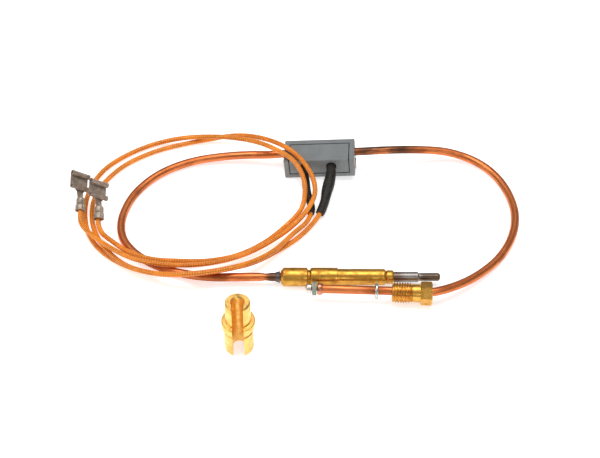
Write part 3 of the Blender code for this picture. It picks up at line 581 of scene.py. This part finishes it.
# ---- camera, light and floor ----------------------------------------------------------
def make_camera():
    data = bpy.data.cameras.new("camera")
    data.lens = 85.0
    data.sensor_width = 36.0
    data.clip_start = 0.01
    camera = bpy.data.objects.new("camera", data)
    camera.location = (-0.0075, -0.3884, 0.4009)
    camera.rotation_euler = (math.radians(45.0), 0.0, 0.0)
    bpy.context.scene.collection.objects.link(camera)
    bpy.context.scene.camera = camera


def area_light(name, spot, aim, width, height, power, colour=(1.0, 1.0, 1.0)):
    data = bpy.data.lights.new(name, "AREA")
    data.shape = "RECTANGLE"
    data.size = width
    data.size_y = height
    data.energy = power
    data.color = colour
    light = bpy.data.objects.new(name, data)
    light.location = spot
    light.rotation_euler = (Vector(aim) - Vector(spot)).to_track_quat("-Z", "Y").to_euler()
    bpy.context.scene.collection.objects.link(light)


def make_studio():
    world = bpy.data.worlds.new("studio")
    bpy.context.scene.world = world
    world.use_nodes = True
    nodes, links = world.node_tree.nodes, world.node_tree.links
    split = nodes.new("ShaderNodeSeparateXYZ")
    links.new(nodes.new("ShaderNodeTexCoord").outputs["Generated"], split.inputs[0])
    ramp = nodes.new("ShaderNodeValToRGB")
    ramp.color_ramp.elements[0].position = 0.0
    ramp.color_ramp.elements[0].color = (0.85, 0.85, 0.85, 1.0)
    ramp.color_ramp.elements[1].position = 1.0
    ramp.color_ramp.elements[1].color = (1.0, 1.0, 1.0, 1.0)
    middle = ramp.color_ramp.elements.new(0.45)
    middle.color = (0.30, 0.30, 0.30, 1.0)
    links.new(split.outputs[2], ramp.inputs[0])
    links.new(ramp.outputs[0], nodes["Background"].inputs["Color"])
    nodes["Background"].inputs["Strength"].default_value = 0.55
    bpy.context.scene.view_settings.view_transform = "Standard"
    area_light("softbox_top", (0.0, 0.12, 0.75), (0.0, 0.0, 0.0), 0.75, 0.45, 4.2)
    area_light("softbox_left", (-0.55, -0.15, 0.45), (0.0, 0.0, 0.0), 0.35, 0.35, 0.9)
    area_light("softbox_front", (0.25, -0.65, 0.40), (0.0, 0.0, 0.0), 0.40, 0.25, 0.8)

    half = 3.0
    spots = [(-half, -half, 0.0), (half, -half, 0.0), (half, half, 0.0), (-half, half, 0.0)]
    mesh = bpy.data.meshes.new("floor")
    mesh.from_pydata(spots, [], [(0, 1, 2, 3)])
    mesh.materials.append(floor_look())
    floor = bpy.data.objects.new("floor", mesh)
    bpy.context.scene.collection.objects.link(floor)


# ---- leads and sleeves ----------------------------------------------------------------
BRAID_DEPTH = 0.04 * MM
BRAID_STEP = 0.32 * MM
PATH_STEP = 2.0 * MM


def braid_swell(distance, angle):
    a = TURN * distance / (BRAID_PITCH * MM)
    b = BRAID_WAVES * angle
    return BRAID_DEPTH * math.sin(a + b) * math.sin(a - b)


def make_lead(index, route, look):
    tag = "ab"[index]
    dense = smooth_curve(route)
    path = even_points(dense, BRAID_STEP)
    step = path_length(path) / (len(path) - 1)

    def outer(i):
        return lambda angle: LEAD_R - 0.5 * BRAID_DEPTH + braid_swell(i * step, angle)

    shape = swept(path, outer, 24)
    lead = finish_piece(f"braided_lead_{tag}", *shape, look["braid"], "orange_braid", "assembly", 60.0)
    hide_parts(f"lead_{tag}")
    return lead, even_points(dense, PATH_STEP), dense


def make_sleeve(index, dense, shape, look):
    """Shrunk tube over the start of a lead, with the folds that shrinking leaves in it."""
    tag = "ab"[index]
    start, swell, end = shape
    split = 1
    while path_length(dense[:split + 1]) < SLEEVE_LENGTH[index]:
        split += 1
    path = even_points(dense[:split + 1], 0.25 * MM)[2:]
    last = len(path) - 1

    def outer(i):
        share = i / last
        bump = math.exp(-((share - 0.42) / 0.22) ** 2)
        mean = start + (end - start) * share + swell * bump
        lip = 0.12 * MM * max(0.0, 1.0 - abs(share - 1.0) / 0.04)

        def radius(angle):
            spot = Vector((i * 0.045, 1.6 * math.cos(angle), 1.6 * math.sin(angle) + 7.0 * index))
            return mean - lip + 0.20 * MM * noise.noise(spot) + 0.05 * MM * noise.noise(spot * 3.1)
        return radius

    sleeve = finish_piece(
        f"shrunk_sleeve_{tag}", *swept(path, outer, 40, lambda i: SLEEVE_BORE_R - 0.1 * MM),
        look["shrink"], "heat_shrink", "assembly", 50.0,
    )
    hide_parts(f"heat_shrink_{tag}")
    return sleeve


# ---- tab receptacles ------------------------------------------------------------------
def flag_section():
    """Cross-section of the receptacle: a floor with both edges rolled over."""
    roll = FLAG_HEIGHT / 2
    thin = roll - FLAG_SHEET
    turns = [math.radians(-2 + 14 * k) for k in range(21)]
    outer = [(roll + roll * math.cos(a), roll + roll * math.sin(a)) for a in turns]
    inner = [(roll + thin * math.cos(a), roll + thin * math.sin(a)) for a in turns]
    left = list(reversed(inner)) + outer
    return left + [(FLAG_WIDTH - y, z) for y, z in reversed(left)]


def flag_shell(place):
    """The receptacle along X. Its two mouths are flared a little."""
    drop = FLAG_HEIGHT / 2
    start, end = -FLAG_LEFT, FLAG_LENGTH - FLAG_LEFT
    middle_y = FLAG_WIDTH / 2
    stations = [start, start + 0.25 * MM, start + 0.8 * MM, end - 0.8 * MM, end - 0.25 * MM, end]
    grow = [1.0, 1.0, 0.975, 0.975, 1.0, 1.0]
    rings = []
    for x, g in zip(stations, grow):
        ring = []
        for y, z in flag_section():
            across = FLAG_REACH + middle_y + (y - middle_y) * g
            ring.append(place @ Vector((x, across, (z - drop) * g)))
        rings.append(ring)
    return skin(rings)


def flag_barrel(place):
    """The two crimps: a wide one on the braid, a narrow one on the wire, each with its seam."""
    profile = rounded([
        (0.0, 1.78 * MM), (0.0, MOUTH_R), (0.6 * MM, 2.02 * MM), (2.3 * MM, 1.98 * MM),
        (2.8 * MM, 1.45 * MM), (3.1 * MM, 1.62 * MM), (5.0 * MM, 1.58 * MM), (5.4 * MM, 1.30 * MM),
        (5.4 * MM, 0.80 * MM), (2.9 * MM, 0.85 * MM), (2.3 * MM, 1.45 * MM), (0.6 * MM, 1.62 * MM),
    ], 0.15 * MM)

    def pinched(radius, station):
        def at(angle):
            off = math.remainder(angle - math.pi, TURN)
            seam = math.exp(-(off / 0.16) ** 2)
            flat = 0.07 * (1 - math.cos(2 * angle)) if station > 2.8 * MM else 0.0
            return radius * (1.0 - 0.22 * seam + flat)
        return at

    along_y = place @ Matrix.Rotation(math.pi / 2, 4, "Z")
    return turned([(s, pinched(r, s)) for s, r in profile], along_y, sides=64)


def flag_neck(place):
    """The strip from the crimp to the receptacle: a channel that flattens and widens."""
    rings = []
    steps = 16
    across = 10
    for step in range(steps + 1):
        t = step / steps
        y = (4.8 + 4.3 * t) * MM
        half = (1.35 + 0.25 * t + 0.9 * max(0.0, t - 0.8) / 0.2) * MM
        curl = 0.95 * MM * (1 - t) ** 1.5
        low = -1.15 * MM + 0.05 * MM * t
        spots = [(half * (2 * k / across - 1), k) for k in range(across + 1)]
        under = [(x, low + curl * (x / half) ** 2) for x, _ in spots]
        over = [(x * 0.97, z + FLAG_SHEET) for x, z in reversed(under)]
        rings.append([place @ Vector((x, y, z)) for x, z in under + over])
    return skin(rings)


def make_flag(index, look):
    tag = "ab"[index]
    place = Matrix.Translation(FLAG_AT[index]) @ FLAG_TURN.to_4x4()
    parts = [flag_shell(place), flag_barrel(place), flag_neck(place)]
    shape = join(parts)
    flag = finish_piece(f"tab_receptacle_{tag}", *shape, look["tin"], "tinned_brass", "assembly")
    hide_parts(f"flag_receptacle_{tag}")
    return flag


def make_leads(look):
    shapes = ((1.8 * MM, 0.6 * MM, 1.75 * MM), (1.50 * MM, 0.12 * MM, 1.48 * MM))
    for index, route in enumerate((LEAD_A_ROUTE, LEAD_B_ROUTE)):
        lead, path, dense = make_lead(index, route, look)
        sleeve = make_sleeve(index, dense, shapes[index], look)
        flag = make_flag(index, look)


# ---- copper tubes ---------------------------------------------------------------------
def in_block(x, y, z):
    """A point of the block's own frame, in the part's frame."""
    return Matrix.Translation(BLOCK_AT) @ BLOCK_TURN.to_matrix().to_4x4() @ Vector((x, y, z))


def on_valve_axis(x):
    return VALVE_AT + Vector((x * math.cos(VALVE_YAW), x * math.sin(VALVE_YAW), 0.0))


def probe_tube_points():
    y, z = TUBE_IN_BLOCK.y, TUBE_IN_BLOCK.z
    start = [in_block(-TUBE_END_IN_BLOCK, y, z), in_block(-BLOCK_SIZE.x / 2 - 1.5 * MM, y, z)]
    end = [Vector((x, PROBE_Y, PROBE_Z)) for x in (-20.5 * MM, -15.0 * MM, TUBE_END_IN_BODY)]
    return start + [Vector(p) for p in PROBE_TUBE_ROUTE] + end


def valve_tube_points():
    y, z = TUBE_IN_BLOCK.y, TUBE_IN_BLOCK.z
    start = [in_block(TUBE_END_IN_BLOCK, y, z), in_block(BLOCK_SIZE.x / 2 + 1.0 * MM, y, z)]
    end = [on_valve_axis(x) for x in (42.5 * MM, 38.0 * MM, 30.0 * MM, 15.0 * MM, 0.0)]
    return start + [Vector(p) for p in VALVE_TUBE_ROUTE] + end


def probe_end_swell(point):
    """The tube is pinched where it enters the probe body."""
    if point.y > 0.0:
        return 0.0
    return -0.30 * MM * math.exp(-((point.x + 20.6 * MM) / (1.5 * MM)) ** 2)


def make_tube(name, node, points, swell, look):
    path = even_points(smooth_curve(points), 0.8 * MM)

    def outer(i):
        mean = TUBE_R + swell(path[i])

        def radius(angle):
            spot = Vector((i * 0.12, 2.0 * math.cos(angle), 2.0 * math.sin(angle)))
            return mean + 0.02 * MM * noise.noise(spot)
        return radius

    shape = swept(path, outer, 32, lambda i: TUBE_BORE_R)
    tube = finish_piece(name, *shape, look["copper"], "drawn_copper", "assembly", 60.0)
    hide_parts(node)


# ---- probe ----------------------------------------------------------------------------
PROBE_PLACE = Matrix.Translation((0.0, PROBE_Y, PROBE_Z))


def make_probe(look):
    bore_a, bore_b, bore_c = TUBE_R + 0.25 * MM, 1.6 * MM, SHEATH_R + GAP
    body_start, body_step, body_end, nose_end = -14.9 * MM, 6.9 * MM, 25.5 * MM, 28.3 * MM
    sheath_start, tip_step, tip_end = 12.0 * MM, 38.0 * MM, 46.2 * MM
    groove = (-4.7 * MM, -3.5 * MM)
    profile = [
        (body_start, bore_a), (body_start, 2.35 * MM), (body_start + 1.1 * MM, BODY_R),
        (groove[0], BODY_R), (groove[0] + 0.3 * MM, BODY_R - 0.9 * MM),
        (groove[1] - 0.3 * MM, BODY_R - 0.9 * MM), (groove[1], BODY_R - 0.3 * MM),
        (groove[1] + 0.4 * MM, BODY_R), (body_step, BODY_R), (body_step + 0.02 * MM, SHOULDER_R),
        (body_end - 0.8 * MM, SHOULDER_R), (body_end, SHOULDER_R - 0.7 * MM),
        (body_end + 0.02 * MM, NOSE_R - 0.3 * MM), (body_end + 0.4 * MM, NOSE_R),
        (nose_end - 0.5 * MM, NOSE_R), (nose_end, NOSE_R - 0.2 * MM), (nose_end, bore_c),
        (sheath_start - GAP, bore_c), (sheath_start - GAP, bore_b),
        (TUBE_END_IN_BODY + GAP, bore_b), (TUBE_END_IN_BODY + GAP, bore_a),
    ]
    shape = turned(rounded(profile, 0.12 * MM), PROBE_PLACE)
    body = finish_piece("turned_body", *shape, look["brass"], "turned_brass", "assembly")
    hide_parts("probe_body")

    bore, end_wall, dome = 1.2 * MM, 1.2 * MM, 1.0 * MM
    profile = [
        (sheath_start, bore), (sheath_start, SHEATH_R),
        (tip_step - 0.4 * MM, SHEATH_R), (tip_step, TIP_R),
    ]
    for step in range(9):
        angle = math.pi / 2 * step / 8
        station = tip_end - dome + dome * math.sin(angle)
        profile.append((station, TIP_R - dome * (1 - math.cos(angle))))
    profile += [(tip_end, 0.02 * MM), (tip_end - end_wall, 0.02 * MM), (tip_end - end_wall, bore)]
    shape = turned(rounded(profile, 0.08 * MM), PROBE_PLACE)
    sheath = finish_piece("heat_tinted_sheath", *shape, look["sheath"], "sheath_steel", "assembly")
    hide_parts("hot_tip_sheath")

    ring_bore = TUBE_R + 0.1 * MM
    profile = [
        (-16.9 * MM, ring_bore), (-16.7 * MM, ring_bore + 0.12 * MM),
        (-15.8 * MM, ring_bore + 0.34 * MM),
        (-15.2 * MM, ring_bore + 0.6 * MM), (-15.2 * MM, ring_bore),
    ]

    def lumpy(station, radius):
        def at(angle):
            spot = Vector((station / MM, 1.5 * math.cos(angle), 1.5 * math.sin(angle)))
            return max(ring_bore, radius + 0.04 * MM * noise.noise(spot))
        return at

    shape = turned([(s, lumpy(s, r)) for s, r in rounded(profile, 0.1 * MM)], PROBE_PLACE)
    ring = finish_piece("brazed_ring", *shape, look["solder"], "heat_blued_solder", "assembly")
    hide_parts("solder_ring")


# ---- valve end ------------------------------------------------------------------------
def valve_place(x=0.0, drop=0.0):
    start = Matrix.Translation(VALVE_AT) @ Matrix.Rotation(VALVE_YAW, 4, "Z")
    return start @ Matrix.Translation((x, 0.0, -drop))


def make_valve_end(look):
    core_hole, cup_bore = CORE_R + FINE_GAP, TUBE_R + FINE_GAP
    place = valve_place()
    cone = [
        (-1.0 * MM, core_hole), (-1.0 * MM, 2.1 * MM), (-0.7 * MM, 2.35 * MM),
        (0.1 * MM, 2.35 * MM), (1.0 * MM, 2.05 * MM), (1.0 * MM, cup_bore),
        (-0.4 * MM, cup_bore), (-0.4 * MM, core_hole),
    ]
    shape = turned(rounded(cone, 0.1 * MM), place)
    made = finish_piece("flared_seat", *shape, look["seat"], "drawn_copper", "assembly")
    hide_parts("seat_cone")
    washer = [
        (-3.0 * MM, core_hole), (-3.0 * MM, 2.6 * MM), (-2.2 * MM, 2.6 * MM), (-2.1 * MM, 2.5 * MM),
        (-1.9 * MM, 2.6 * MM), (-1.3 * MM, 2.6 * MM), (-1.3 * MM, core_hole),
    ]
    shape = turned(rounded(washer, 0.12 * MM), place)
    made = finish_piece("fibre_washer", *shape, look["fibre"], "green_fibre_washer", "assembly")
    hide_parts("insulating_washer")
    tip = [
        (-3.3 * MM, core_hole), (-3.3 * MM, 1.9 * MM), (-4.9 * MM, 1.8 * MM), (-5.4 * MM, 1.4 * MM),
        (-5.6 * MM, 0.8 * MM), (-5.6 * MM, 0.02 * MM), (-4.5 * MM, 0.02 * MM),
        (-4.5 * MM, core_hole),
    ]
    shape = turned(rounded(tip, 0.25 * MM, 5), place)
    made = finish_piece("contact_button", *shape, look["contact"], "contact_solder", "assembly")
    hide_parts("contact_tip")

    half = 0.6 * MM
    ring = [
        (-half, 2.05 * MM), (-half, 2.85 * MM), (-0.2 * MM, 3.1 * MM), (0.2 * MM, 3.1 * MM),
        (half, 2.85 * MM), (half, 2.05 * MM),
    ]
    made = finish_piece(
        "plated_washer", *turned(rounded(ring, 0.12 * MM), valve_place(WASHER_X, WASHER_HANG)),
        look["washer"], "spring_steel_washer", "lock_washer",
    )
    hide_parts("lock_washer")


def hex_radius(angle, limit):
    off = (angle + math.pi / 6) % (math.pi / 3) - math.pi / 6
    return min(HEX_FLAT / 2 / math.cos(off), limit)


def make_nut(look):
    """The gland nut: a helical thread, a relief and a hexagon with turned corners."""
    lead_in = 0.5 * MM
    thread_end = lead_in + THREAD_TURNS * THREAD_PITCH
    relief_end = thread_end + 3.2 * MM
    hex_end = relief_end + 4.4 * MM
    relief_r = 3.5 * MM
    corner = HEX_FLAT / math.sqrt(3)

    def thread(x):
        run_in = min(1.0, max(0.0, x / (0.9 * MM)))
        run_out = min(1.0, max(0.0, (thread_end - x) / (0.5 * MM)))
        fade = run_in * run_out

        def at(angle):
            phase = (x / THREAD_PITCH - angle / TURN) % 1.0
            flank = min(1.0, max(0.0, 1.35 - abs(phase - 0.5) * 3.4))
            return THREAD_ROOT_R + (THREAD_R - THREAD_ROOT_R) * flank * fade
        return at

    def hexagon(x):
        chamfer = min(x - relief_end, hex_end - x)
        limit = HEX_FLAT / 2 + 0.05 * MM + 1.9 * chamfer
        return lambda angle: hex_radius(angle - HEX_PHASE, min(limit, corner - 0.05 * MM))

    profile = [(0.0, NUT_BORE_R), (0.0, THREAD_ROOT_R)]
    steps = 150
    profile += [(thread_end * k / steps, thread(thread_end * k / steps)) for k in range(1, steps)]
    profile += [
        (thread_end, THREAD_ROOT_R), (thread_end + 0.2 * MM, relief_r),
        (relief_end - 0.1 * MM, relief_r), (relief_end, relief_r + 0.1 * MM),
    ]
    profile += [(relief_end + (hex_end - relief_end) * k / 24, None) for k in range(25)]
    profile = [(x, hexagon(x) if r is None else r) for x, r in profile]
    profile += [(hex_end, NUT_BORE_R + 0.3 * MM), (hex_end - 0.3 * MM, NUT_BORE_R)]
    shape = turned(profile, valve_place(NUT_START_X, NUT_HANG), sides=144)
    nut = finish_piece("threaded_nut", *shape, look["nut"], "turned_brass", "gland_nut", 25.0)
    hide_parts("gland_nut")


# ---- split adaptor --------------------------------------------------------------------
def make_adaptor(look):
    chamfer = 0.6 * MM
    low, high = COLLAR_Z
    foot, top = ADAPTOR_FOOT_R, ADAPTOR_TOP_R
    profile = rounded([
        (0.0, foot - chamfer), (chamfer, foot), (low - 1.5 * MM, foot),
        (low - 1.3 * MM, foot - 0.4 * MM), (low - 0.5 * MM, foot - 0.4 * MM),
        (low - 0.3 * MM, foot),
        (low, foot + 0.1 * MM), (low + 0.9 * MM, COLLAR_R), (high - 0.3 * MM, COLLAR_R),
        (high, COLLAR_R - 0.3 * MM), (high + 0.02 * MM, top), (ADAPTOR_HEIGHT - chamfer, top),
        (ADAPTOR_HEIGHT, top - chamfer),
    ], 0.1 * MM)
    count = 96
    half = ADAPTOR_SLOT / 2
    rings = []
    for z, radius in profile:
        edge = min(z, ADAPTOR_HEIGHT - z)
        flare = max(0.0, 0.35 * MM - edge)
        ring = []
        for r, order in ((radius, 1), (ADAPTOR_BORE_R + flare, -1)):
            gap = math.asin(min(1.0, (half + 0.5 * flare) / r))
            span = TURN - 2 * gap
            turns = [-math.pi / 2 + gap + span * k / (count - 1) for k in range(count)][::order]
            ring += [ADAPTOR_AT + Vector((r * math.cos(a), r * math.sin(a), z)) for a in turns]
        rings.append(ring)
    spots, faces, uvs = skin(rings, caps=False)
    for start, height in ((0, 0.0), (len(rings) - 1, ADAPTOR_HEIGHT / MM)):
        first = start * 2 * count
        for k in range(count - 1):
            quad = (first + k, first + k + 1, first + 2 * count - 2 - k, first + 2 * count - 1 - k)
            faces.append(quad[::-1] if start == 0 else quad)
            uvs.append([(height, 0.0), (height, 0.0), (height + 2.0, 0.0), (height + 2.0, 0.0)])
    shape = (spots, faces, uvs)
    made = finish_piece("bright_adaptor", *shape, look["bright"], "bright_brass", "split_adaptor")
    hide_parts("split_adaptor")


# ---- CAD nodes that keep their shape --------------------------------------------------
def dress(node, look):
    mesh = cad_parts[node].data
    mesh.materials.clear()
    mesh.materials.append(look)


def dress_nodes(look):
    for node, key in (
        ("interrupter_shell", "grey"), ("interrupter_cover", "grey"),
        ("insulating_carrier", "beige"),
        ("sheath_bridge", "seat"), ("core_ferrule_a", "plain_tin"), ("core_ferrule_b", "plain_tin"),
        ("constantan_core", "constantan"), ("glass_fibre_sleeve", "glass"),
        ("cold_junction_splice", "plain_tin"), ("probe_core_lead", "lacquer"),
        ("valve_core_lead", "lacquer"), ("conductor_a", "strand"), ("conductor_b", "strand"),
    ):
        dress(node, look[key])


def make_looks():
    return {
        "braid": braid_look(),
        "copper": copper_look(),
        "brass": turned_look("probe_brass", (0.60, 0.32, 0.055), (0.46, 0.225, 0.036), 0.34),
        "nut": turned_look("nut_brass", (0.74, 0.40, 0.085), (0.54, 0.27, 0.045), 0.28),
        "bright": turned_look("adaptor_brass", (0.95, 0.60, 0.18), (0.86, 0.49, 0.13), 0.34),
        "sheath": sheath_look(),
        "grey": plastic_look("grey_plastic", (0.205, 0.218, 0.220), (0.172, 0.183, 0.182)),
        "beige": plastic_look("beige_plastic", (0.52, 0.46, 0.34), (0.44, 0.38, 0.27)),
        "shrink": shrink_look(),
        "tin": tin_look(),
        "plain_tin": rough_look("ferrule_tin", (0.56, 0.50, 0.44), (0.42, 0.36, 0.31), 0.34, 1.0),
        "solder": rough_look(
            "heat_blued_solder", (0.15, 0.14, 0.14), (0.07, 0.055, 0.05), 0.42, 1.0, 1500.0,
        ),
        "seat": rough_look("seat_copper", (0.66, 0.27, 0.16), (0.46, 0.17, 0.09), 0.32, 1.0),
        "fibre": rough_look("fibre_washer", (0.30, 0.33, 0.26), (0.22, 0.25, 0.19), 0.6, 0.0, 1400.0),
        "contact": rough_look("contact_button", (0.80, 0.66, 0.60), (0.60, 0.47, 0.42), 0.34, 1.0),
        "washer": rough_look("plated_washer", (0.60, 0.62, 0.58), (0.44, 0.46, 0.42), 0.28, 1.0),
        "constantan": rough_look("constantan", (0.50, 0.45, 0.40), (0.40, 0.36, 0.32), 0.4, 1.0),
        "glass": rough_look("glass_fibre", (0.70, 0.67, 0.58), (0.58, 0.55, 0.47), 0.8, 0.0, 2400.0),
        "lacquer": rough_look("lacquered_wire", (0.26, 0.10, 0.035), (0.18, 0.06, 0.02), 0.4, 0.0),
        "strand": rough_look("tinned_strands", (0.55, 0.50, 0.45), (0.40, 0.36, 0.32), 0.4, 1.0, 2400.0),
    }


def build():
    make_camera()
    look = make_looks()
    make_leads(look)
    make_tube("bent_tube_left", "probe_copper_tube", probe_tube_points(), probe_end_swell, look)
    make_tube("bent_tube_right", "valve_copper_tube", valve_tube_points(), lambda point: 0.0, look)
    make_probe(look)
    make_valve_end(look)
    make_nut(look)
    make_adaptor(look)
    dress_nodes(look)
    make_studio()


build()
